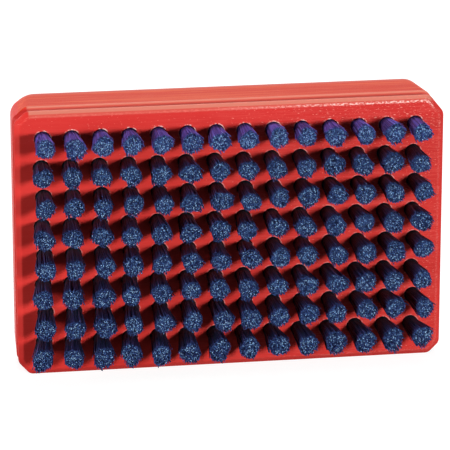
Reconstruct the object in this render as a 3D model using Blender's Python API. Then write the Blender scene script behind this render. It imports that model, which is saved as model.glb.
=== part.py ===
"""Ski wax brush: a machined block with a finger groove and cut corners, and a field of nylon tufts.

The brush stands on one of its long sides. X runs along the block, the bristles point to -Y, and Z is up.
The origin is on the ground, under the middle of the whole brush. All lengths are in metres.
"""
import math

import bmesh
import bpy

# Block, as it stands: length along X, height along Z, thickness along Y
BLOCK_LENGTH = 0.120
BLOCK_HEIGHT = 0.076
BLOCK_THICKNESS = 0.021
# Every corner is cut off on the saw, so each cut has its own size: (along X, along Z)
BOTTOM_LEFT_CUT = (0.0032, 0.0036)
BOTTOM_RIGHT_CUT = (0.0031, 0.0031)
TOP_RIGHT_CUT = (0.0040, 0.0050)
TOP_LEFT_CUT = (0.0035, 0.0031)
# The cuts lean, so they take away more at the back: (along X, along Z)
CUT_GROWTH = (0.0012, 0.0004)
END_TAPER = 0.0008
# The edges of the cuts are rounded, and more so towards the back, where the hand lies
CORNER_ROUND = 0.0010
ROUND_GROWTH = 0.0014
# Bevel round the bristle face: how far it comes in, and how deep it goes
FACE_BEVEL_IN = 0.0014
FACE_BEVEL_DEEP = 0.0010
# Finger groove all round, just behind the bristle face
GROOVE_LIP = 0.0006
GROOVE_WIDTH = 0.0043
GROOVE_DEPTH = 0.0014
BACK_ROUND = 0.0020

# Tufts stand on a grid: pitch along the block and across it
TUFT_PITCH_LONG = 0.0080
TUFT_PITCH_CROSS = 0.0084
TUFT_LENGTH = 0.0125
# The grid sits a little off the middle of the block: (along X, along Z)
FIELD_OFFSET = (-0.0005, 0.0008)
# Least width of block left round the field
FIELD_RIM = 0.0036
HOLE_DIAMETER = 0.0040
HOLE_DEPTH = 0.0012
TUFT_GAP = 0.00012
# A tuft is split into strands, by slits that open towards the tips
ROOT_SLIT = 0.00025
TIP_SLIT = 0.00055
TUFT_FLARE_DEGREES = 5.8
STRANDS_PER_TUFT = 3
HOLE_SIDES = 7

# Each row of tufts is fused to its own slice of the block's face, let into a pocket
SLICE_DEPTH = 0.0030
SEAT_GAP = 0.0003
CUT_OVERRUN = 0.0020

GROOVE_STEPS = 6
BACK_ROUND_STEPS = 4
CORNER_STEPS = 3

SHARP_EDGE_DEGREES = 30

RED = (0.72, 0.032, 0.030, 1.0)
BLUE = (0.032, 0.095, 0.33, 1.0)
RED_ROUGHNESS = 0.42
BLUE_ROUGHNESS = 0.5

# Worked out from the sizes above
FACE_Y = (TUFT_LENGTH - BLOCK_THICKNESS) / 2
MIDDLE_Z = BLOCK_HEIGHT / 2
COLUMNS = int((BLOCK_LENGTH - 2 * FIELD_RIM) / TUFT_PITCH_LONG)
ROWS = int((BLOCK_HEIGHT - 2 * FIELD_RIM) / TUFT_PITCH_CROSS)
FIELD_X = FIELD_OFFSET[0]
FIELD_Z = MIDDLE_Z + FIELD_OFFSET[1]
FIELD_LENGTH = COLUMNS * TUFT_PITCH_LONG
FIELD_HEIGHT = ROWS * TUFT_PITCH_CROSS


def material(name, colour, roughness):
    made = bpy.data.materials.new(name)
    made.use_nodes = True
    shader = made.node_tree.nodes["Principled BSDF"]
    shader.inputs["Base Color"].default_value = colour
    shader.inputs["Roughness"].default_value = roughness
    shader.inputs["Metallic"].default_value = 0.0
    made.diffuse_color = colour
    return made


def mesh_object(name, bm, materials):
    bmesh.ops.recalc_face_normals(bm, faces=bm.faces)
    mesh = bpy.data.meshes.new(name)
    bm.to_mesh(mesh)
    bm.free()
    for entry in materials:
        mesh.materials.append(entry)
    made = bpy.data.objects.new(name, mesh)
    bpy.context.collection.objects.link(made)
    return made


def hidden_tool(made):
    """Marks an object that only cuts or joins others."""
    made.hide_render = True
    made.display_type = "WIRE"
    return made


def boolean(target, tool, operation):
    modifier = target.modifiers.new(f"{operation.lower()} {tool.name}", "BOOLEAN")
    modifier.object = tool
    modifier.operation = operation
    modifier.solver = "EXACT"


def add_box(bm, low, high):
    corners = [
        bm.verts.new((x, y, z))
        for x in (low[0], high[0])
        for y in (low[1], high[1])
        for z in (low[2], high[2])
    ]
    for side in ((0, 1, 3, 2), (4, 6, 7, 5), (0, 4, 5, 1), (2, 3, 7, 6), (0, 2, 6, 4), (1, 5, 7, 3)):
        bm.faces.new([corners[index] for index in side])


def add_loft(bm, rings):
    """Skins closed rings of points, each as long as the last, and closes both ends."""
    made = [[bm.verts.new(point) for point in ring] for ring in rings]
    for near, far in zip(made, made[1:]):
        for index in range(len(near)):
            following = (index + 1) % len(near)
            bm.faces.new((near[index], near[following], far[following], far[index]))
    bm.faces.new(made[0])
    bm.faces.new(made[-1])


def rounded(points, reach):
    """Rounds each corner of a closed outline in X and Z, by at most half of its sides."""
    result = []
    for index, (x, z) in enumerate(points):
        before = points[index - 1]
        after = points[(index + 1) % len(points)]
        ends = []
        for other_x, other_z in (before, after):
            side = math.hypot(other_x - x, other_z - z)
            share = min(reach / side, 1 / 2)
            ends.append((x + (other_x - x) * share, z + (other_z - z) * share))
        for step in range(CORNER_STEPS + 1):
            t = step / CORNER_STEPS
            weights = ((1 - t) ** 2, 2 * t * (1 - t), t**2)
            control = (ends[0], (x, z), ends[1])
            result.append(tuple(sum(w * c[axis] for w, c in zip(weights, control)) for axis in (0, 1)))
    return result


def block_ring(y, inset, towards_back):
    """The block's outline at one depth, drawn in by inset; towards_back runs from 0 to 1."""
    half_x = BLOCK_LENGTH / 2 - inset - END_TAPER * towards_back
    half_z = BLOCK_HEIGHT / 2 - inset
    outline = []
    corners = (
        (-1, -1, BOTTOM_LEFT_CUT, True),
        (1, -1, BOTTOM_RIGHT_CUT, False),
        (1, 1, TOP_RIGHT_CUT, True),
        (-1, 1, TOP_LEFT_CUT, False),
    )
    for side_x, side_z, cut, z_end_first in corners:
        cut_x = cut[0] + CUT_GROWTH[0] * towards_back
        cut_z = cut[1] + CUT_GROWTH[1] * towards_back
        # A cut line drawn in by the same inset as the sides leaves a shorter cut
        shrink = 1 - inset * (1 / cut_x + 1 / cut_z - math.hypot(1 / cut_x, 1 / cut_z))
        z_end = (side_x * half_x, side_z * (half_z - cut_z * shrink))
        x_end = (side_x * (half_x - cut_x * shrink), side_z * half_z)
        outline += [z_end, x_end] if z_end_first else [x_end, z_end]
    reach = CORNER_ROUND + ROUND_GROWTH * towards_back
    return [(x, FACE_Y + y, MIDDLE_Z + z) for x, z in rounded(outline, reach)]


def block_rings():
    """Outlines from the bristle face to the back: bevel, lip, groove, tapered body, rounded back edge."""
    groove_start = FACE_BEVEL_DEEP + GROOVE_LIP
    groove_end = groove_start + GROOVE_WIDTH
    round_start = BLOCK_THICKNESS - BACK_ROUND
    rings = [block_ring(0, FACE_BEVEL_IN, 0), block_ring(FACE_BEVEL_DEEP, 0, 0)]
    for step in range(GROOVE_STEPS + 1):
        share = step / GROOVE_STEPS
        rings.append(block_ring(groove_start + GROOVE_WIDTH * share, GROOVE_DEPTH * math.sin(math.pi * share), 0))
    for step in range(BACK_ROUND_STEPS + 1):
        turn = math.pi / 2 * step / BACK_ROUND_STEPS
        y = round_start + BACK_ROUND * math.sin(turn)
        inset = BACK_ROUND * (1 - math.cos(turn))
        rings.append(block_ring(y, inset, (y - groove_end) / (BLOCK_THICKNESS - groove_end)))
    return rings


def make_block(red):
    bm = bmesh.new()
    add_loft(bm, block_rings())
    block = mesh_object("handle_block", bm, [red])
    bm = bmesh.new()
    half_length = FIELD_LENGTH / 2 + SEAT_GAP / 2
    half_height = FIELD_HEIGHT / 2 + SEAT_GAP / 2
    low = (FIELD_X - half_length, FACE_Y - CUT_OVERRUN, FIELD_Z - half_height)
    high = (FIELD_X + half_length, FACE_Y + SLICE_DEPTH + SEAT_GAP, FIELD_Z + half_height)
    add_box(bm, low, high)
    boolean(block, hidden_tool(mesh_object("pocket_cutter", bm, [red])), "DIFFERENCE")
    block.data.shade_smooth()
    block.data.set_sharp_from_angle(angle=math.radians(SHARP_EDGE_DEGREES))


def add_loop(bm, points):
    """A closed loop of new vertices and edges."""
    made = [bm.verts.new(point) for point in points]
    edges = [bm.edges.new((made[index - 1], made[index])) for index in range(len(made))]
    return made, edges


def bridge(bm, near, far):
    """Walls between two loops with as many points each."""
    return [
        bm.faces.new((near[index - 1], near[index], far[index], far[index - 1]))
        for index in range(len(near))
    ]


def hole_ring(centre_x, centre_z, y, turn):
    radius = HOLE_DIAMETER / 2
    angles = [turn + math.tau * side / HOLE_SIDES for side in range(HOLE_SIDES)]
    return [(centre_x + radius * math.cos(a), y, centre_z + radius * math.sin(a)) for a in angles]


def strand_ring(centre_x, centre_z, y, radius, slit, heading):
    """One strand's four-sided section: a wedge of the round tuft, half a slit clear of the wedges beside it."""
    half_angle = math.pi / STRANDS_PER_TUFT
    core = slit / 2 / math.sin(half_angle)
    # From the core, each flank runs at the half angle until it meets the tuft's circle
    flank = math.sqrt(radius**2 - (core * math.sin(half_angle)) ** 2) - core * math.cos(half_angle)
    side_along = core + flank * math.cos(half_angle)
    side_across = flank * math.sin(half_angle)
    section = ((core, 0), (side_along, -side_across), (radius, 0), (side_along, side_across))
    return [
        (
            centre_x + along * math.cos(heading) - across * math.sin(heading),
            y,
            centre_z + along * math.sin(heading) + across * math.cos(heading),
        )
        for along, across in section
    ]


def add_tuft(bm, centre_x, centre_z, turn):
    """A blind hole with a tuft of strands fused to its floor; gives back the edges of the hole's mouth."""
    mouth, mouth_edges = add_loop(bm, hole_ring(centre_x, centre_z, FACE_Y, turn))
    floor_y = FACE_Y + HOLE_DEPTH
    floor, floor_edges = add_loop(bm, hole_ring(centre_x, centre_z, floor_y, turn))
    bridge(bm, mouth, floor)

    root_radius = HOLE_DIAMETER / 2 * math.cos(math.pi / HOLE_SIDES) - TUFT_GAP
    tip_radius = root_radius + TUFT_LENGTH * math.tan(math.radians(TUFT_FLARE_DEGREES))
    for strand in range(STRANDS_PER_TUFT):
        heading = turn + math.tau * strand / STRANDS_PER_TUFT
        root, root_edges = add_loop(bm, strand_ring(centre_x, centre_z, floor_y, root_radius, ROOT_SLIT, heading))
        exit_ring = strand_ring(centre_x, centre_z, FACE_Y - TUFT_LENGTH, tip_radius, TIP_SLIT, heading)
        tip, _ = add_loop(bm, exit_ring)
        for face in [*bridge(bm, root, tip), bm.faces.new(tip)]:
            face.material_index = 1
        floor_edges += root_edges
    bmesh.ops.triangle_fill(bm, use_beauty=True, edges=floor_edges)
    return mouth_edges


def make_bristle_row(column, red, blue):
    """One row of tufts across the block, on its slice of the bristle face."""
    centre_x = FIELD_X + (column + 1 / 2) * TUFT_PITCH_LONG - FIELD_LENGTH / 2
    half_width = (TUFT_PITCH_LONG - SEAT_GAP) / 2
    half_height = (FIELD_HEIGHT - SEAT_GAP) / 2
    rim = [
        (centre_x + side_x * half_width, FIELD_Z + side_z * half_height)
        for side_x, side_z in ((-1, -1), (1, -1), (1, 1), (-1, 1))
    ]
    bm = bmesh.new()
    front, front_edges = add_loop(bm, [(x, FACE_Y, z) for x, z in rim])
    back, _ = add_loop(bm, [(x, FACE_Y + SLICE_DEPTH, z) for x, z in rim])
    bridge(bm, front, back)
    bm.faces.new(back)
    # Tufts are turned unlike their neighbours, by the golden angle from one to the next
    golden = math.pi * (3 - math.sqrt(5))
    for row in range(ROWS):
        centre_z = FIELD_Z + FIELD_HEIGHT / 2 - (row + 1 / 2) * TUFT_PITCH_CROSS
        front_edges += add_tuft(bm, centre_x, centre_z, golden * (column * ROWS + row))
    bmesh.ops.triangle_fill(bm, use_beauty=True, edges=front_edges)
    mesh_object(f"bristle_row_{column + 1:02d}", bm, [red, blue])


def main():
    for old in list(bpy.data.objects):
        bpy.data.objects.remove(old, do_unlink=True)
    red = material("red_plastic", RED, RED_ROUGHNESS)
    blue = material("blue_nylon", BLUE, BLUE_ROUGHNESS)
    make_block(red)
    for column in range(COLUMNS):
        make_bristle_row(column, red, blue)


main()
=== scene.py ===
import math

import bmesh
import bpy
import numpy as np
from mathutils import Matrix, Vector


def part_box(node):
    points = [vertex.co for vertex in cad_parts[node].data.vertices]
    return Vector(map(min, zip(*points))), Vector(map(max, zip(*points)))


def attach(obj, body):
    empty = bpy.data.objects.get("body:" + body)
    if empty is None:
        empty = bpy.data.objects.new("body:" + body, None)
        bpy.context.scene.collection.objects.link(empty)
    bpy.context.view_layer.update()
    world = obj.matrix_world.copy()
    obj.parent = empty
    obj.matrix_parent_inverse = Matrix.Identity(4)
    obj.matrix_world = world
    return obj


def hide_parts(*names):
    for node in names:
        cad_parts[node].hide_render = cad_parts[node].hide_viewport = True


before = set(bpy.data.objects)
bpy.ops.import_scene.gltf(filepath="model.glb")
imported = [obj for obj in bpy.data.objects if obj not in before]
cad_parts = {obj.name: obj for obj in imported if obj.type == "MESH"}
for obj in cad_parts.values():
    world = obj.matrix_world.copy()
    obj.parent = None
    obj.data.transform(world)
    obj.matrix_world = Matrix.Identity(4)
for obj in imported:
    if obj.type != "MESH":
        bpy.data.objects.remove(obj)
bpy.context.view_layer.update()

# All lengths are in metres. X runs along the block, the bristles point to -Y, and Z is up.
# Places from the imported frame
BLOCK_LOW, BLOCK_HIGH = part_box("handle_block")
BODY = "root"
ROW_NODES = sorted(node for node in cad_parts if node.startswith("bristle_row_"))
FACE_Y = BLOCK_LOW[1]
TIP_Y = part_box(ROW_NODES[0])[0][1]
MIDDLE_X = (BLOCK_LOW[0] + BLOCK_HIGH[0]) / 2
MIDDLE_Z = (BLOCK_LOW[2] + BLOCK_HIGH[2]) / 2
THICKNESS = BLOCK_HIGH[1] - BLOCK_LOW[1]

# Shape of the block, with the sizes of the CAD
BOTTOM_LEFT_CUT = (0.0032, 0.0036)
BOTTOM_RIGHT_CUT = (0.0031, 0.0031)
TOP_RIGHT_CUT = (0.0040, 0.0050)
TOP_LEFT_CUT = (0.0035, 0.0031)
CUT_GROWTH = (0.0012, 0.0004)
END_TAPER = 0.0008
CORNER_ROUND = 0.0010
ROUND_GROWTH = 0.0014
FACE_BEVEL_IN = 0.0014
FACE_BEVEL_DEEP = 0.0010
GROOVE_LIP = 0.0006
GROOVE_WIDTH = 0.0043
GROOVE_DEPTH = 0.0014
GROOVE_START = FACE_BEVEL_DEEP + GROOVE_LIP
GROOVE_END = GROOVE_START + GROOVE_WIDTH
BACK_ROUND = 0.0020

# Eased edges: how far they are eased, and at most what share of a side
EDGE_ROUND = 0.00022
EASED_SHARE = 0.45
# How worn they are
FACE_EDGE_WEAR = 1.0
BEVEL_EDGE_WEAR = 0.7
GROOVE_EDGE_WEAR = 0.4
# Width of the flat rim between the bevel and the field of holes
FACE_RIM = 0.0012
# How finely curves are stepped
GROOVE_STEPS = 16
BACK_ROUND_STEPS = 8
CORNER_STEPS = 5
EDGE_STEPS = 3
# How much large faces count in the shading, where 50 is neutral
LARGE_FACE_WEIGHT = 80

# Tuft grid
TUFTS_ACROSS = 8
SEAT_GAP = 0.0003
# Every other row sits a little to one side, and all but the first a little higher
ROW_STAGGER = 0.00026
ROW_RISE = 0.00025

# Drilled holes, each with a torn lip
HOLE_RADIUS = 0.00228
HOLE_DEPTH = 0.0022
HOLE_SEGMENTS = 24
LIP_WIDTH = 0.00040
LIP_HEIGHT = 0.00010
LEAST_LIP_HEIGHT = 0.00001
LIP_GROWTH = (0.5, 1.5)
LIP_UNEVENNESS = 0.7
# Loops of a hole from its floor outwards: distance beyond its wall, depth, share of the lip's height,
# paleness of the burrs with their painted highlight
HOLE_LOOPS = (
    (0.0, HOLE_DEPTH, 0.0, 0.0),
    (0.0, 0.00025, 0.0, 0.0),
    (0.00002, 0.0, 0.5, 1.0),
    (0.00016, 0.0, 1.0, 1.0),
    (LIP_WIDTH, 0.0, 0.0, 0.0),
)
# Pale burrs are strongest towards this heading, the upper right where the lamps stand, as a painted
# highlight, and weaker at all rows but the first, as painted shade
BURR_HIGHLIGHT_HEADING = math.radians(50)
LEAST_BURR = 0.35
SHADED_ROWS_BURR = 0.45

# Filaments
FILAMENTS_PER_TUFT = 420
FILAMENT_RADIUS = 0.000140
FILAMENT_SIDES = 4
ROOT_RADIUS = 0.00198
TIP_RADIUS = 0.00276
ROOT_DEPTH = 0.0016
TRIM_TOLERANCE = 0.00055
ROOT_DROP = 0.00010
# Points along a filament: share of the way from root to tip, and depth behind the face
PATH = ((0.0, ROOT_DEPTH), (0.0, -0.0004), (0.34, 0.0), (1.0, 0.0))
FLARE_EXPONENT = 0.95
# Filaments stand a little closer together in the middle of a tuft
RADIUS_EXPONENT = 0.52
# Lobes of a tuft's outline: how many, and how large
LOBES = ((2, 0.085), (3, 0.060), (4, 0.040), (5, 0.035))
LOBE_GROWTH = (0.3, 1.4)
TIP_GROWTH = (0.93, 1.07)
# Spread of the roots, of the tips, of a whole tuft's tips, and of the filaments between both ends
ROOT_SPREAD = 0.00003
TIP_SPREAD = 0.00012
LEAN_SPREAD = 0.00022
SWAY = 0.00006
# Some filaments near the rim stray outwards
STRAY_SHARE = 0.10
STRAY_FROM = 0.75
STRAY_REACH = (0.0001, 0.0006)
# Lean of the tips: everywhere, more with each column, with each row, and with both
LEAN_X = (-0.00024, 0.00063, 0.00021, 0.00067)
LEAN_Z = (0.00017, 0.00039, -0.00052, 0.00028)
# The lower half of the last row's tufts hangs this much further down
LAST_ROW_DROOP = 1.32
# How far the flanks are from their painted shade at each ring from root to tip; the painted shade stands for
# the shadow among the tufts, deep in all rows but the first
FIRST_ROW_UNSHADED = np.array([0.7, 0.8, 1.0, 1.0, 1.0])
OTHER_ROWS_UNSHADED = np.array([0.03, 0.04, 0.11, 0.42, 0.42])
# Tones are darker at a tuft's rim, and lighter in the first row as painted light from above
RIM_START = 0.8
RIM_SHADE = 0.45
FIRST_ROW_LIGHT_EXPONENT = 0.75
GOLDEN_ANGLE = math.pi * (3 - math.sqrt(5))

# Red plastic: two reds, and coats of other colours over them, each with its strength
RED_DARK = (0.62, 0.0310, 0.0265)
RED_LIGHT = (0.69, 0.0385, 0.0320)
TOP_TINT = (0.75, (0.65, 0.036, 0.003))
STREAKS = (0.5, (0.82, 0.165, 0.058))
# Painted sheen on the top's bevel, lip and far groove edge that face up, and on its rounded rear edge
PAINTED_SHEEN = (0.8, (0.71, 0.25, 0.175))
REAR_EDGE_SHEEN = (0.45, (0.72, 0.32, 0.28))
SCRATCHES = (0.35, (0.78, 0.11, 0.095))
# Paler specks: painted glints where the key lamp grazes the rough face
SPECK_GLINTS = (0.75, (0.95, 0.34, 0.28))
WORN_EDGES = (0.6, (0.92, 0.22, 0.18))
TORN_RIM = (0.9, (1.0, 0.68, 0.62))
# Pale burrs at the holes, brightened as painted highlights where they face the lamps
BURRS_AND_HIGHLIGHTS = (0.9, (1.0, 0.66, 0.62))
RED_ROUGHNESS = (0.36, 0.50)
RED_SPECULAR = 0.07
STREAK_BUMP = 0.000030
SPECK_BUMP = 0.000060
GRAIN_BUMP = 0.000006

# Noise: swings for each metre along X, Y and Z, detail and roughness
STREAK_NOISE = ((30, 900, 900), 4.0, 0.7)
DASH_NOISE = ((1100, 900, 4200), 2.0, 0.6)
GRAIN_NOISE = ((5200, 5200, 5200), 1.0, 0.5)
# Patterns: the same, and the part of the noise that is stretched from nothing to full
BROAD_PATTERN = ((18, 60, 60), 2.0, 0.5, 0.35, 0.65)
SCRATCH_PATTERN = ((130, 900, 3400), 3.0, 0.6, 0.46, 0.64)
WEAR_PATTERN = ((900, 2600, 2600), 2.0, 0.5, 0.42, 0.62)
RIM_PATTERN = ((1300, 2600, 2600), 3.0, 0.6, 0.49, 0.57)
BURR_PATTERN = ((1500, 1500, 1500), 2.0, 0.5, 0.42, 0.58)
# That part of the streaks and of the grains
STREAK_RANGE = (0.42, 0.68)
GRAIN_RANGE = (0.3, 0.7)

# Where marks fade in or out along Y, from the face
FACE_END = (0.00008, 0.00028)
LIP_SHEEN_START = (0.00025, 0.00050)
RIM_END = (0.0004, 0.0007)
# From the near edge of the groove
LIP_SHEEN_END = (0.0001, 0.0004)
# From the far edge of the groove
BODY_START = (-0.0003, 0.0)
FAR_EDGE_START = (-0.0005, -0.0003)
FAR_EDGE_END = (0.0001, 0.0005)
GROOVE_SHEEN_END = (0.0, 0.0001)
# From the back
REAR_EDGE_START = (-0.0042, -0.0016)
BACK_START = (-0.0008, -0.0001)
# Along X, from the ends and from the middle
LEFT_CUT_END = (0.0038, 0.0044)
RIGHT_CUT_START = (-0.0042, -0.0032)
GLINT_ALONG = (-0.030, 0.058)
SCRATCHED_ALONG = (-0.050, 0.040)
WORN_ALONG = (-0.040, 0.030)
RIM_ALONG = (-0.010, 0.040)
# Along Z, from the top and from the ground
UPPER_START = (-0.0019, -0.0015)
TOP_WEAR_START = (-0.0040, -0.0024)
GLINT_HIGH = (0.050, 0.074)
# Strength of a mark in its weaker places, as a share
GROOVE_SHEEN = 0.35
RIGHT_CUT_SHEEN = 0.3
BACK_STREAKS = 0.35
END_STREAKS = 0.4
LEFT_SCRATCHES = 0.2
LOW_WEAR = 0.10
LEFT_WEAR = 0.4
# Specks show where the dashes pass a threshold, which is lower towards the +X end and the top edge, as
# painted glints where the key lamp grazes
SPECK_THRESHOLD = 0.715
GLINT_END_DROP = 0.085
GLINT_EDGE_DROP = 0.045
SPECK_SOFTNESS = 0.10

# Blue nylon: shades of the cut ends and of the flanks, from dark to light
END_SHADES = (
    (0.0, (0.015, 0.020, 0.070)),
    (0.35, (0.029, 0.050, 0.160)),
    (0.65, (0.048, 0.104, 0.29)),
    (0.78, (0.085, 0.195, 0.43)),
    (0.86, (0.180, 0.360, 0.62)),
    (1.0, (0.420, 0.660, 0.94)),
)
FLANK_SHADES = (
    (0.0, (0.030, 0.025, 0.115)),
    (0.5, (0.088, 0.070, 0.370)),
    (1.0, (0.230, 0.200, 0.700)),
)
# Dark teal of the painted shade on the flanks
SHADED_FLANK = (0.004, 0.026, 0.034, 1)
NYLON_ROUGHNESS = 0.40
NYLON_SPECULAR = 0.04

# Camera: azimuth, elevation and roll in degrees, and its place from the middle of the face
CAMERA_TURN = (-8.96, 17.42, -0.01)
CAMERA_DISTANCE = 0.91880
CAMERA_SIDE = -0.00175
CAMERA_LIFT = 0.00300
SENSOR_WIDTH = 36
# Focal length of the photograph and its width, both in pixels
PHOTO_FOCUS = 3300
PHOTO_WIDTH = 450

# Lamps: name, direction from the middle of the face, distance, width and power in watts
LAMPS = (
    ("key", (0.36, -1.0, 0.22), 0.9, 0.15, 6.8),
    ("overhead", (0.05, 0.70, 1.0), 1.0, 0.35, 7.3),
    ("first_row", (0.12, -0.11, 1.0), 1.0, 0.3, 0.8),
    ("left_fill", (-1.0, -0.33, 0.18), 1.0, 0.4, 7.6),
    ("right_fill", (1.0, -0.28, 0.20), 1.0, 0.5, 1.0),
)
# Floor: shade in view and where light only falls, glow in view, roughness, reach, gap under the block
FLOOR_SHADE_IN_VIEW = 0.25
FLOOR_SHADE = 0.05
FLOOR_GLOW = 0.88
FLOOR_ROUGHNESS = 0.9
FLOOR_REACH = 6.0
FLOOR_GAP = 0.00005
# Strength of the white world where light only falls
WORLD_FILL = 0.008

# Seeds of the random draws: the block's, and the first column of tufts'
BLOCK_SEED = 11
TUFT_SEED = 101


def link(name, data):
    """A new object with this data, in the scene."""
    made = bpy.data.objects.new(name, data)
    bpy.context.collection.objects.link(made)
    return made


def set_camera():
    """The photograph's viewing angle, without lens shift."""
    azimuth, elevation, roll = (math.radians(angle) for angle in CAMERA_TURN)
    focus = Vector((MIDDLE_X, FACE_Y, MIDDLE_Z))
    back = Vector((
        math.sin(azimuth) * math.cos(elevation),
        -math.cos(azimuth) * math.cos(elevation),
        math.sin(elevation),
    ))
    right = Vector((0, 0, 1)).cross(back).normalized()
    up = back.cross(right)
    right, up = (
        right * math.cos(roll) + up * math.sin(roll),
        up * math.cos(roll) - right * math.sin(roll),
    )
    data = bpy.data.cameras.new("photo_view")
    data.sensor_width = SENSOR_WIDTH
    data.lens = SENSOR_WIDTH * PHOTO_FOCUS / PHOTO_WIDTH
    camera = link("photo_view", data)
    camera.location = focus + back * CAMERA_DISTANCE + right * CAMERA_SIDE + up * CAMERA_LIFT
    turn = camera.matrix_world.to_3x3()
    turn.col[0], turn.col[1], turn.col[2] = right, up, back
    camera.rotation_euler = turn.to_euler()
    bpy.context.scene.camera = camera


class Nodes:
    """The node tree of a material or a world, built one call to a node."""

    def __init__(self, owner, shader):
        owner.use_nodes = True
        self.tree = owner.node_tree
        self.shader = self.tree.nodes[shader]

    def add(self, kind, inputs=None, **settings):
        node = self.tree.nodes.new(kind)
        for key, value in settings.items():
            setattr(node, key, value)
        for key, value in (inputs or {}).items():
            self.feed(node.inputs[key], value)
        return node

    def feed(self, socket, value):
        if isinstance(value, bpy.types.NodeSocket):
            self.tree.links.new(value, socket)
        else:
            socket.default_value = value

    def math(self, operation, first, second):
        return self.add("ShaderNodeMath", {0: first, 1: second}, operation=operation).outputs[0]

    def product(self, *factors):
        result = factors[0]
        for factor in factors[1:]:
            result = self.math("MULTIPLY", result, factor)
        return result

    def ramp(self, value, low, high, out_low=0.0, out_high=1.0):
        """Value between low and high, stretched smoothly to the other two."""
        node = self.add("ShaderNodeMapRange", {
            "Value": value, "From Min": low, "From Max": high, "To Min": out_low, "To Max": out_high,
        }, interpolation_type="SMOOTHSTEP")
        return node.outputs["Result"]

    def mix(self, factor, first, second):
        node = self.add("ShaderNodeMix", data_type="RGBA")
        self.feed(node.inputs[0], factor)
        self.feed(node.inputs[6], first)
        self.feed(node.inputs[7], second)
        return node.outputs[2]

    def object_place(self):
        return self.add("ShaderNodeTexCoord").outputs["Object"]

    def noise(self, scale, detail, roughness):
        """Noise with so many swings for each metre along X, Y and Z."""
        place = self.add("ShaderNodeMapping", {"Vector": self.object_place(), "Scale": scale})
        return self.add("ShaderNodeTexNoise", {
            "Vector": place.outputs["Vector"], "Scale": 1.0, "Detail": detail, "Roughness": roughness,
        }).outputs["Fac"]

    def pattern(self, values):
        """Noise of which one part is stretched from nothing to full."""
        scale, detail, roughness, low, high = values
        return self.ramp(self.noise(scale, detail, roughness), low, high)

    def attribute(self, name):
        return self.add("ShaderNodeAttribute", attribute_name=name).outputs["Color"]

    def channel(self, colour, index):
        return self.add("ShaderNodeSeparateColor", {"Color": colour}).outputs[index]

    def in_view(self):
        """1 where the camera looks, straight or by a reflection, and 0 where light only falls."""
        path = self.add("ShaderNodeLightPath").outputs
        mirrored = self.math("MAXIMUM", path["Is Glossy Ray"], path["Is Transmission Ray"])
        seen = self.math("MAXIMUM", path["Is Camera Ray"], mirrored)
        return self.math("MULTIPLY", seen, self.math("LESS_THAN", path["Diffuse Depth"], 0.5))

    def palette(self, value, stops):
        node = self.add("ShaderNodeValToRGB", {"Fac": value})
        elements = node.color_ramp.elements
        while len(elements) < len(stops):
            elements.new(1.0)
        for element, (position, colour) in zip(elements, stops):
            element.position = position
            element.color = (*colour, 1.0)
        return node.outputs["Color"]


class BlockNodes(Nodes):
    """The nodes of the block's material, with the mesh's marks and the main places as masks."""

    def __init__(self, material):
        super().__init__(material, "Principled BSDF")
        marks = self.attribute("marks")
        self.burr, self.worn, self.on_face = (self.channel(marks, index) for index in range(3))
        position = self.add("ShaderNodeSeparateXYZ", {0: self.object_place()})
        self.along, self.deep, self.high = (position.outputs[axis] for axis in "XYZ")
        self.off_face = self.fade(self.deep, FACE_Y, FACE_END)
        self.body = self.fade(self.deep, FACE_Y + GROOVE_END, BODY_START)
        self.upper = self.fade(self.high, BLOCK_HIGH[2], UPPER_START)

    def fade(self, value, origin, reach, out_low=0.0, out_high=1.0):
        """A ramp between two places that are measured from an origin."""
        return self.ramp(value, origin + reach[0], origin + reach[1], out_low, out_high)

    def cover(self, base, mask, coat):
        """Base under a coat, where the mask is."""
        strength, colour = coat
        return self.mix(self.product(mask, strength), base, (*colour, 1))


def body_colour(n, streaks):
    """Red in broad shades, with a warm tint on top and streaks behind the groove."""
    base = n.mix(n.pattern(BROAD_PATTERN), (*RED_DARK, 1), (*RED_LIGHT, 1))
    # The back and the ends are plainer than the top
    streaked = n.product(
        n.ramp(streaks, *STREAK_RANGE),
        n.body,
        n.fade(n.deep, BLOCK_HIGH[1], BACK_START, 1.0, BACK_STREAKS),
        n.math("ADD", END_STREAKS, n.product(n.upper, 1 - END_STREAKS)),
    )
    base = n.cover(base, n.product(n.body, n.upper), TOP_TINT)
    return n.cover(base, streaked, STREAKS)


def painted_sheen_edges(n, base):
    """Painted sheen on top, where the edges face the lamps: the bevel, lip and far groove edge between the
    cuts, and the rear edge.
    """
    lip = n.product(
        n.fade(n.deep, FACE_Y + GROOVE_START, LIP_SHEEN_END, 1.0, 0.0),
        n.fade(n.deep, FACE_Y, LIP_SHEEN_START),
    )
    far_edge = n.product(
        n.fade(n.deep, FACE_Y + GROOVE_END, FAR_EDGE_START),
        n.fade(n.deep, FACE_Y + GROOVE_END, FAR_EDGE_END, 1.0, 0.0),
    )
    groove = n.fade(n.deep, FACE_Y + GROOVE_END, GROOVE_SHEEN_END, GROOVE_SHEEN, 0.0)
    pale = n.math("MAXIMUM", n.math("MAXIMUM", lip, far_edge), groove)
    between_cuts = n.product(
        n.fade(n.along, BLOCK_LOW[0], LEFT_CUT_END),
        n.fade(n.along, BLOCK_HIGH[0], RIGHT_CUT_START, 1.0, RIGHT_CUT_SHEEN),
    )
    base = n.cover(base, n.product(pale, n.upper, between_cuts), PAINTED_SHEEN)
    rear = n.product(n.fade(n.deep, BLOCK_HIGH[1], REAR_EDGE_START), n.upper)
    return n.cover(base, rear, REAR_EDGE_SHEEN)


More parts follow.
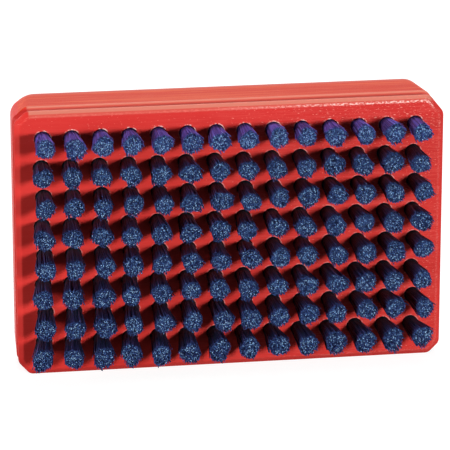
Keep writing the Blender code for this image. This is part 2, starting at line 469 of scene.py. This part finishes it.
def specks_with_glints(n):
    """Rough specks on the face, paler in colour as painted glints, and more of them towards the +X end and
    the top edge, where the key lamp grazes the face.
    """
    glint_end = n.fade(n.along, MIDDLE_X, GLINT_ALONG, 0.0, GLINT_END_DROP)
    glint_edge = n.fade(n.high, BLOCK_LOW[2], GLINT_HIGH, 0.0, GLINT_EDGE_DROP)
    threshold = n.math("SUBTRACT", n.math("SUBTRACT", SPECK_THRESHOLD, glint_end), glint_edge)
    past = n.math("SUBTRACT", n.noise(*DASH_NOISE), threshold)
    return n.product(n.ramp(past, 0.0, SPECK_SOFTNESS), n.on_face)


def worn_edges(n, base):
    """Eased edges worn paler, most of all along the top, where the rim of the face is ragged."""
    wear = n.product(
        n.worn,
        n.fade(n.high, BLOCK_HIGH[2], TOP_WEAR_START, LOW_WEAR, 1.0),
        n.fade(n.along, MIDDLE_X, WORN_ALONG, LEFT_WEAR, 1.0),
    )
    base = n.cover(base, n.product(wear, n.pattern(WEAR_PATTERN)), WORN_EDGES)
    rim_paleness = n.product(
        wear,
        n.fade(n.along, MIDDLE_X, RIM_ALONG),
        n.fade(n.deep, FACE_Y, RIM_END, 1.0, 0.0),
        n.pattern(RIM_PATTERN),
    )
    return n.cover(base, rim_paleness, TORN_RIM)


def red_plastic():
    """Satin plastic: tool marks along the sides, rough specks with painted glints on the face, pale burrs
    with painted highlights at the holes.
    """
    material = bpy.data.materials.new("red_plastic")
    n = BlockNodes(material)
    streaks = n.noise(*STREAK_NOISE)
    grains = n.noise(*GRAIN_NOISE)
    specks = specks_with_glints(n)
    scratched = n.fade(n.along, MIDDLE_X, SCRATCHED_ALONG, LEFT_SCRATCHES, 1.0)

    base = painted_sheen_edges(n, body_colour(n, streaks))
    base = n.cover(base, n.product(n.pattern(SCRATCH_PATTERN), n.on_face, scratched), SCRATCHES)
    # Painted glints on the rough specks
    base = n.cover(base, specks, SPECK_GLINTS)
    base = worn_edges(n, base)
    # Pale burrs at the holes, with painted highlights towards the lamps and painted shade in the lower rows
    base = n.cover(base, n.product(n.burr, n.pattern(BURR_PATTERN)), BURRS_AND_HIGHLIGHTS)
    n.feed(n.shader.inputs["Base Color"], base)
    n.feed(n.shader.inputs["Roughness"], n.ramp(grains, *GRAIN_RANGE, *RED_ROUGHNESS))
    n.feed(n.shader.inputs["Specular IOR Level"], RED_SPECULAR)

    height = n.product(streaks, n.off_face, STREAK_BUMP)
    height = n.math("ADD", height, n.product(specks, SPECK_BUMP))
    height = n.math("ADD", height, n.product(grains, GRAIN_BUMP))
    bump = n.add("ShaderNodeBump", {"Strength": 1.0, "Distance": 1.0, "Height": height})
    n.feed(n.shader.inputs["Normal"], bump.outputs["Normal"])
    return material


def blue_nylon():
    """Nylon filaments: violet-blue flanks with painted shade deep among the tufts, and cut ends of many
    shades of blue.
    """
    material = bpy.data.materials.new("blue_nylon")
    n = Nodes(material, "Principled BSDF")
    marks = n.attribute("marks")
    tone, end, unshaded = (n.channel(marks, index) for index in range(3))
    ends = n.palette(tone, END_SHADES)
    # Flanks darken towards the root and below the first row, as painted shade among the tufts
    flanks = n.mix(unshaded, SHADED_FLANK, n.palette(tone, FLANK_SHADES))
    n.feed(n.shader.inputs["Base Color"], n.mix(end, flanks, ends))
    n.feed(n.shader.inputs["Roughness"], NYLON_ROUGHNESS)
    n.feed(n.shader.inputs["Specular IOR Level"], NYLON_SPECULAR)
    return material


def bend(start, corner, end, steps):
    """Points on a quadratic curve that cuts a corner."""
    points = []
    for step in range(steps + 1):
        t = step / steps
        weights = ((1 - t) ** 2, 2 * t * (1 - t), t**2)
        control = (start, corner, end)
        points.append(tuple(sum(w * c[axis] for w, c in zip(weights, control)) for axis in (0, 1)))
    return points


def rounded(points, reach):
    """Rounds each corner of a closed outline in X and Z, by at most half of its sides."""
    result = []
    for index, (x, z) in enumerate(points):
        before = points[index - 1]
        after = points[(index + 1) % len(points)]
        ends = []
        for other_x, other_z in (before, after):
            side = math.hypot(other_x - x, other_z - z)
            share = min(reach / side, 1 / 2)
            ends.append((x + (other_x - x) * share, z + (other_z - z) * share))
        result += bend(ends[0], (x, z), ends[1], CORNER_STEPS)
    return result


def block_ring(depth, inset):
    """The block's outline at one depth behind the face, drawn in by inset."""
    towards_back = max(0.0, (depth - GROOVE_END) / (THICKNESS - GROOVE_END))
    half_x = (BLOCK_HIGH[0] - BLOCK_LOW[0]) / 2 - inset - END_TAPER * towards_back
    half_z = (BLOCK_HIGH[2] - BLOCK_LOW[2]) / 2 - inset
    outline = []
    corners = (
        (-1, -1, BOTTOM_LEFT_CUT, True),
        (1, -1, BOTTOM_RIGHT_CUT, False),
        (1, 1, TOP_RIGHT_CUT, True),
        (-1, 1, TOP_LEFT_CUT, False),
    )
    for side_x, side_z, cut, z_end_first in corners:
        cut_x = cut[0] + CUT_GROWTH[0] * towards_back
        cut_z = cut[1] + CUT_GROWTH[1] * towards_back
        # A cut line drawn in by the same inset as the sides leaves a shorter cut
        shrink = 1 - inset * (1 / cut_x + 1 / cut_z - math.hypot(1 / cut_x, 1 / cut_z))
        z_end = (side_x * half_x, side_z * (half_z - cut_z * shrink))
        x_end = (side_x * (half_x - cut_x * shrink), side_z * half_z)
        outline += [z_end, x_end] if z_end_first else [x_end, z_end]
    reach = CORNER_ROUND + ROUND_GROWTH * towards_back
    return [(MIDDLE_X + x, FACE_Y + depth, MIDDLE_Z + z) for x, z in rounded(outline, reach)]


def profile_corners():
    """Depth, inset and wear of the block's section from the face to the back, before its edges are eased."""
    corners = [
        (0.0, FACE_BEVEL_IN + FACE_RIM, 0.0),
        (0.0, FACE_BEVEL_IN, FACE_EDGE_WEAR),
        (FACE_BEVEL_DEEP, 0.0, BEVEL_EDGE_WEAR),
        (GROOVE_START, 0.0, GROOVE_EDGE_WEAR),
    ]
    for step in range(1, GROOVE_STEPS):
        share = step / GROOVE_STEPS
        corners.append((GROOVE_START + GROOVE_WIDTH * share, GROOVE_DEPTH * math.sin(math.pi * share), 0.0))
    corners.append((GROOVE_END, 0.0, GROOVE_EDGE_WEAR))
    for step in range(BACK_ROUND_STEPS + 1):
        turn = math.pi / 2 * step / BACK_ROUND_STEPS
        depth = THICKNESS - BACK_ROUND * (1 - math.sin(turn))
        corners.append((depth, BACK_ROUND * (1 - math.cos(turn)), 0.0))
    return corners


def block_profile():
    """Depth, inset and wear of each ring from the face to the back; only the eased edges are worn."""
    corners = profile_corners()
    profile = []
    for index, (depth, inset, worn) in enumerate(corners):
        if not worn:
            profile.append((depth, inset, 0.0))
            continue
        ends, clear = [], []
        for other in (corners[index - 1], corners[index + 1]):
            side = math.hypot(other[0] - depth, other[1] - inset)
            for reach, points in ((EDGE_ROUND, ends), (2 * EDGE_ROUND, clear)):
                share = min(reach, EASED_SHARE * side * reach / (2 * EDGE_ROUND)) / side
                points.append((depth + (other[0] - depth) * share, inset + (other[1] - inset) * share))
        profile.append((*clear[0], 0.0))
        profile += [(*point, worn) for point in bend(ends[0], (depth, inset), ends[1], EDGE_STEPS)]
        profile.append((*clear[1], 0.0))
    return profile


def cell_centres():
    """Places of the cells, column by column from the left and from the top down."""
    columns = []
    for node in ROW_NODES:
        low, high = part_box(node)
        pitch = (high[2] - low[2] + SEAT_GAP) / TUFTS_ACROSS
        top = high[2] + SEAT_GAP / 2
        centre_x = (low[0] + high[0]) / 2
        columns.append([(centre_x, top - (row + 1 / 2) * pitch) for row in range(TUFTS_ACROSS)])
    return columns


def row_rise(row):
    return ROW_RISE if row else 0.0


def hole_centre(cell, row):
    """Place of a hole, a little off the middle of its cell."""
    return (cell[0] + ROW_STAGGER * (-1) ** row, cell[1] + row_rise(row))


def cell_boundary(centre, pitch_x, pitch_z):
    """Points on a rectangle round a hole, one for each segment of the hole, shared with the next cells."""
    points = []
    for segment in range(HOLE_SEGMENTS):
        angle = math.tau * segment / HOLE_SEGMENTS
        along, across = math.cos(angle), math.sin(angle)
        reach = max(abs(along), abs(across))
        points.append((centre[0] + along / reach * pitch_x / 2, centre[1] + across / reach * pitch_z / 2))
    return points


class BlockMesh:
    """The block's mesh while it is built, with marks on its vertices: the holes' pale lips with their
    painted highlights, wear, and face.
    """

    def __init__(self):
        self.bm = bmesh.new()
        self.marks = self.bm.verts.layers.float_color.new("marks")

    def vertex(self, point, burr=0.0, worn=0.0, on_face=0.0):
        made = self.bm.verts.new(point)
        made[self.marks] = (burr, worn, on_face, 1.0)
        return made

    def bridge(self, near, far):
        """Walls between two loops with as many points each."""
        for index in range(len(near)):
            self.bm.faces.new((near[index - 1], near[index], far[index], far[index - 1]))

    def stitch(self, outer, inner):
        """Triangles between two loops round the block's middle, each walked once in step with its angle."""
        def by_angle(loop):
            turned = [(math.atan2(v.co.z - MIDDLE_Z, v.co.x - MIDDLE_X), v) for v in loop]
            return sorted(turned, key=lambda entry: entry[0])

        outer, inner = by_angle(outer), by_angle(inner)
        i = j = 0
        while i < len(outer) or j < len(inner):
            next_outer = outer[i + 1][0] if i + 1 < len(outer) else outer[0][0] + math.tau
            next_inner = inner[j + 1][0] if j + 1 < len(inner) else inner[0][0] + math.tau
            here_outer, here_inner = outer[i % len(outer)][1], inner[j % len(inner)][1]
            if j >= len(inner) or (i < len(outer) and next_outer <= next_inner):
                i += 1
                self.bm.faces.new((here_outer, outer[i % len(outer)][1], here_inner))
            else:
                j += 1
                self.bm.faces.new((here_outer, inner[j % len(inner)][1], here_inner))

    def hole(self, rng, centre, rim_paleness):
        """The loops of one hole from its floor to the foot of its uneven lip."""
        phase, phase_2 = rng.uniform(0, math.tau, 2)
        growth = rng.uniform(*LIP_GROWTH)
        loops = []
        for beyond, depth, lift, burr in HOLE_LOOPS:
            radius = HOLE_RADIUS + beyond
            loop = []
            for segment in range(HOLE_SEGMENTS):
                angle = math.tau * segment / HOLE_SEGMENTS
                uneven = 1 + LIP_UNEVENNESS * math.cos(angle - phase) * math.cos(2 * angle - phase_2)
                height = max(LIP_HEIGHT * growth * uneven, LEAST_LIP_HEIGHT)
                point = (
                    centre[0] + radius * math.cos(angle),
                    FACE_Y + depth - lift * height,
                    centre[1] + radius * math.sin(angle),
                )
                # Lips are paler towards the lamps, as a painted highlight on the burrs
                towards_light = LEAST_BURR + (1 - LEAST_BURR) * max(0.0, math.cos(angle - BURR_HIGHLIGHT_HEADING))
                loop.append(self.vertex(point, burr=burr * rim_paleness * towards_light, on_face=1.0))
            loops.append(loop)
        return loops


def make_block(material):
    rng = np.random.default_rng(BLOCK_SEED)
    build = BlockMesh()
    rings = []
    for depth, inset, worn in block_profile():
        on_face = 1.0 if depth < FACE_BEVEL_DEEP / 2 else 0.0
        rings.append([build.vertex(point, worn=worn, on_face=on_face) for point in block_ring(depth, inset)])
    for near, far in zip(rings, rings[1:]):
        build.bridge(near, far)
    build.bm.faces.new(rings[-1])

    columns = cell_centres()
    pitch_x = columns[1][0][0] - columns[0][0][0]
    pitch_z = columns[0][0][1] - columns[0][1][1]
    edge_points = {}
    for column in columns:
        for row, cell in enumerate(column):
            # Rows below the first get weaker pale burrs, as painted shade
            loops = build.hole(rng, hole_centre(cell, row), SHADED_ROWS_BURR if row else 1.0)
            boundary = []
            for x, z in cell_boundary(cell, pitch_x, pitch_z):
                # Neighbouring cells share the points that round to the same micrometre
                key = (round(x * 1e6), round(z * 1e6))
                if key not in edge_points:
                    edge_points[key] = build.vertex((x, FACE_Y, z), on_face=1.0)
                boundary.append(edge_points[key])
            for near, far in zip(loops, loops[1:] + [boundary]):
                build.bridge(near, far)
            build.bm.faces.new(loops[0])
    open_edges = [edge for edge in build.bm.edges if len(edge.link_faces) == 1]
    field_rim = {vert for edge in open_edges for vert in edge.verts} - set(rings[0])
    build.stitch(rings[0], field_rim)
    bmesh.ops.recalc_face_normals(build.bm, faces=build.bm.faces)

    mesh = bpy.data.meshes.new("brush_block")
    build.bm.to_mesh(mesh)
    build.bm.free()
    mesh.materials.append(material)
    mesh.shade_smooth()
    block = link("brush_block", mesh)
    weighted = block.modifiers.new("even shading", "WEIGHTED_NORMAL")
    weighted.mode = "FACE_AREA"
    weighted.weight = LARGE_FACE_WEIGHT
    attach(block, BODY)
    return block


def tip_lean(column, row):
    """How far the tips of a tuft lean away from its hole, along X and Z."""
    across = 2 * column / (len(ROW_NODES) - 1) - 1
    down = 2 * row / (TUFTS_ACROSS - 1) - 1
    terms = np.array([1.0, across, down, across * down])
    return np.array([terms @ LEAN_X, terms @ LEAN_Z - row_rise(row)])


def tuft_paths(rng, centre, lean, droop):
    """Axes of one tuft's filaments: an array of filaments by path points by X, Y, Z, and their radii."""
    count = FILAMENTS_PER_TUFT
    index = np.arange(count)
    radius = ((index + 1 / 2) / count) ** RADIUS_EXPONENT
    angle = index * GOLDEN_ANGLE + rng.uniform(0, math.tau)
    unit = np.stack([np.cos(angle), np.sin(angle)], axis=1)
    outline = np.ones(count)
    for lobes, size in LOBES:
        outline += size * rng.uniform(*LOBE_GROWTH) * np.cos(lobes * (angle - rng.uniform(0, math.tau)))
    root = unit * (radius * ROOT_RADIUS)[:, None] + rng.normal(0, ROOT_SPREAD, (count, 2))
    tip_radius = TIP_RADIUS * rng.uniform(*TIP_GROWTH)
    tip = unit * (radius * outline * tip_radius)[:, None] + rng.normal(0, TIP_SPREAD, (count, 2))
    tip[:, 1] *= np.where(tip[:, 1] < 0, droop, 1.0)
    tip += lean + rng.normal(0, LEAN_SPREAD, 2)
    root[:, 1] -= ROOT_DROP
    stray = (rng.random(count) < STRAY_SHARE) & (radius > STRAY_FROM)
    tip[stray] += unit[stray] * rng.uniform(*STRAY_REACH, (stray.sum(), 1))
    trim = TIP_Y + rng.uniform(0, 1, count) ** 2 * TRIM_TOLERANCE
    sway = rng.normal(0, SWAY, (count, 2))
    path = np.empty((count, len(PATH), 3))
    for point, (share, depth) in enumerate(PATH):
        spot = root + (tip - root) * share**FLARE_EXPONENT
        if 0 < share < 1:
            spot = spot + sway
        path[:, point, 0] = centre[0] + spot[:, 0]
        path[:, point, 1] = FACE_Y + depth + (trim - FACE_Y) * share
        path[:, point, 2] = centre[1] + spot[:, 1]
    return path, radius


def filament_tones(rng, radius, row):
    """Tone of each filament of a tuft, from dark to light, raised in the first row as painted light from
    above.
    """
    rim = np.clip((radius - RIM_START) / (1 - RIM_START), 0, 1)
    tone = rng.random(len(radius)) * (1 - RIM_SHADE * rim)
    return tone if row else tone**FIRST_ROW_LIGHT_EXPONENT


def tube_faces(count, ring_count):
    """Quads of so many tubes, whose last ring repeats the one before it as a cap of its own."""
    base = (np.arange(count) * ring_count * FILAMENT_SIDES)[:, None, None]
    ring = np.arange(ring_count - 2)[None, :, None] * FILAMENT_SIDES
    side = np.arange(FILAMENT_SIDES)[None, None, :]
    following = (side + 1) % FILAMENT_SIDES
    walls = np.stack([
        base + ring + side,
        base + ring + FILAMENT_SIDES + side,
        base + ring + FILAMENT_SIDES + following,
        base + ring + following,
    ], axis=-1).reshape(-1, 4)
    last_ring = (ring_count - 1) * FILAMENT_SIDES
    caps = (base[:, :, 0] + last_ring + np.arange(FILAMENT_SIDES)[::-1]).reshape(-1, 4)
    return np.concatenate([walls, caps])


def quad_mesh(name, vertices, faces):
    mesh = bpy.data.meshes.new(name)
    mesh.vertices.add(vertices.size // 3)
    mesh.vertices.foreach_set("co", vertices.reshape(-1).astype(np.float32))
    mesh.loops.add(faces.size)
    mesh.loops.foreach_set("vertex_index", faces.reshape(-1).astype(np.int32))
    mesh.polygons.add(len(faces))
    mesh.polygons.foreach_set("loop_start", np.arange(len(faces), dtype=np.int32) * 4)
    mesh.update(calc_edges=True)
    return mesh


def make_tufts(name, column, centres, node, material):
    """One row of tufts as a single mesh of fine tubes, with the cut ends as faces of their own."""
    rng = np.random.default_rng(TUFT_SEED + column)
    paths, tones = [], []
    for row, centre in enumerate(centres):
        droop = LAST_ROW_DROOP if row == TUFTS_ACROSS - 1 else 1.0
        path, radius = tuft_paths(rng, hole_centre(centre, row), tip_lean(column, row), droop)
        paths.append(path)
        tones.append(filament_tones(rng, radius, row))
    path = np.concatenate(paths)
    tone = np.concatenate(tones)
    count = len(path)
    turn = rng.uniform(0, math.tau, count)[:, None] + math.tau * np.arange(FILAMENT_SIDES) / FILAMENT_SIDES
    section = np.stack([np.cos(turn), np.zeros_like(turn), np.sin(turn)], axis=2) * FILAMENT_RADIUS
    rings = path[:, :, None, :] + section[:, None, :, :]
    rings = np.concatenate([rings, rings[:, -1:]], axis=1)
    ring_count = rings.shape[1]

    # Tone, cut end, and how little painted shade the flanks carry
    colours = np.zeros((count, ring_count, FILAMENT_SIDES, 4), dtype=np.float32)
    colours[..., 0] = tone[:, None, None]
    colours[:, -1, :, 1] = 1.0
    first_row = np.arange(count) < FILAMENTS_PER_TUFT
    unshaded = np.where(first_row[:, None], FIRST_ROW_UNSHADED, OTHER_ROWS_UNSHADED)
    colours[..., 2] = unshaded[:, :, None]
    colours[..., 3] = 1.0

    mesh = quad_mesh(name, rings, tube_faces(count, ring_count))
    marks = mesh.color_attributes.new("marks", "FLOAT_COLOR", "POINT")
    marks.data.foreach_set("color", colours.reshape(-1))
    mesh.materials.append(material)
    mesh.shade_smooth()
    tufts = link(name, mesh)
    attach(tufts, BODY)
    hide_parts(node)


def make_floor():
    """A plain pale floor, white to the camera and in reflections."""
    pale = bpy.data.materials.new("pale_floor")
    n = Nodes(pale, "Principled BSDF")
    shade = n.math("MAXIMUM", n.product(n.in_view(), FLOOR_SHADE_IN_VIEW), FLOOR_SHADE)
    n.feed(n.shader.inputs["Base Color"], shade)
    n.feed(n.shader.inputs["Roughness"], FLOOR_ROUGHNESS)
    glow = n.add("ShaderNodeEmission", {"Strength": n.product(n.in_view(), FLOOR_GLOW)})
    total = n.add("ShaderNodeAddShader", {0: n.shader.outputs[0], 1: glow.outputs[0]})
    n.feed(n.tree.nodes["Material Output"].inputs["Surface"], total.outputs[0])
    bm = bmesh.new()
    bmesh.ops.create_grid(bm, x_segments=1, y_segments=1, size=FLOOR_REACH)
    mesh = bpy.data.meshes.new("floor")
    bm.to_mesh(mesh)
    bm.free()
    mesh.materials.append(pale)
    floor = link("floor", mesh)
    floor.location = (0, 0, BLOCK_LOW[2] - FLOOR_GAP)


def light_studio():
    """A white world in view, and soft lamps round the brush."""
    world = bpy.data.worlds.new("studio")
    bpy.context.scene.world = world
    n = Nodes(world, "Background")
    n.feed(n.shader.inputs["Color"], (1, 1, 1, 1))
    n.feed(n.shader.inputs["Strength"], n.math("MAXIMUM", n.in_view(), WORLD_FILL))
    target = Vector((MIDDLE_X, FACE_Y, MIDDLE_Z))
    for name, direction, distance, width, power in LAMPS:
        data = bpy.data.lights.new(name, "AREA")
        data.shape = "DISK"
        data.size = width
        data.energy = power
        lamp = link(name, data)
        away = Vector(direction).normalized()
        lamp.location = target + away * distance
        lamp.rotation_euler = away.to_track_quat("Z", "Y").to_euler()


set_camera()
red = red_plastic()
blue = blue_nylon()
block = make_block(red)
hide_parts("handle_block")
for column, (node, centres) in enumerate(zip(ROW_NODES, cell_centres())):
    make_tufts(f"tufts_{column + 1:02d}", column, centres, node, blue)
make_floor()
light_studio()
bpy.context.scene.view_settings.view_transform = "Standard"
